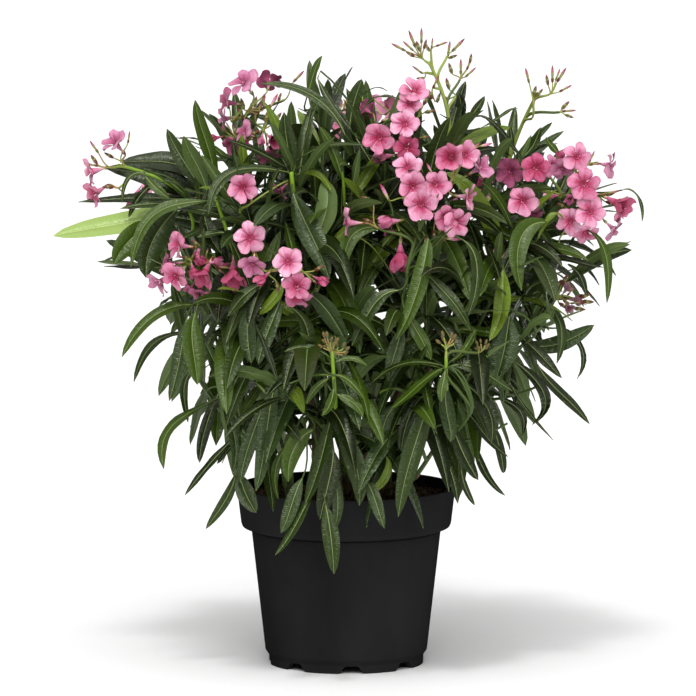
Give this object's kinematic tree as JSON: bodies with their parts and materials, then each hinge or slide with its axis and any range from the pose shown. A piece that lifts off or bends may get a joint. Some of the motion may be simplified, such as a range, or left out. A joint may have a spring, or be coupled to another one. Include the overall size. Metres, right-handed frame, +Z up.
{
  "type": "potted oleander",
  "caption": "Bushy oleander shrub in a round black nursery pot, with whorls of long narrow leaves on many stems and loose clusters of pink flowers.",
  "frame": {"origin": "middle of the pot's footprint, on the floor", "axes": "+Z up along the pot's axis; -Y is the plant's front; +X is to the right seen from the front"},
  "size_m": [0.648, 0.5702, 0.7099],
  "materials": {
    "pot": "satin black, finely moulded",
    "soil": "damp and crumbly",
    "stem": "smooth grey-green bark",
    "bough": "smooth green bark",
    "foliage": "leathery, slightly glossy",
    "blossom": "soft, matt",
    "buds": "soft, matt"
  },
  "bodies": {
    "root": {"pot": "pot", "soil": "soil", "stem_back": "stem", "stem_back_left": "stem", "stem_back_right": "stem", "stem_centre": "stem", "stem_front_left": "stem", "stem_front_right": "stem", "stem_left": "stem", "stem_low_front": "stem", "stem_low_right": "stem", "stem_right": "stem", "bough_back_left_low": "bough", "bough_back_low": "bough", "bough_back_right_low": "bough", "bough_front": "bough", "bough_left_front": "bough", "bough_low_back": "bough", "bough_low_left": "bough", "bough_low_side": "bough", "bough_right_front": "bough", "bough_top_front": "bough", "bough_top_right": "bough", "foliage_back": "foliage", "foliage_back_left": "foliage", "foliage_back_left_low": "foliage", "foliage_back_low": "foliage", "foliage_back_right": "foliage", "foliage_back_right_low": "foliage", "foliage_centre": "foliage", "foliage_front": "foliage", "foliage_front_left": "foliage", "foliage_front_right": "foliage", "foliage_left": "foliage", "foliage_left_front": "foliage", "foliage_low_back": "foliage", "foliage_low_front": "foliage", "foliage_low_left": "foliage", "foliage_low_right": "foliage", "foliage_low_side": "foliage", "foliage_right": "foliage", "foliage_right_front": "foliage", "foliage_top_front": "foliage", "foliage_top_right": "foliage", "blossom_back": "blossom", "blossom_back_left": "blossom", "blossom_back_right": "blossom", "blossom_centre": "blossom", "blossom_front": "blossom", "blossom_front_left": "blossom", "blossom_left": "blossom", "blossom_right": "blossom", "blossom_top": "blossom", "blossom_upper_left": "blossom", "buds_right": "buds", "buds_top": "buds"}
  },
  "joints": []
}
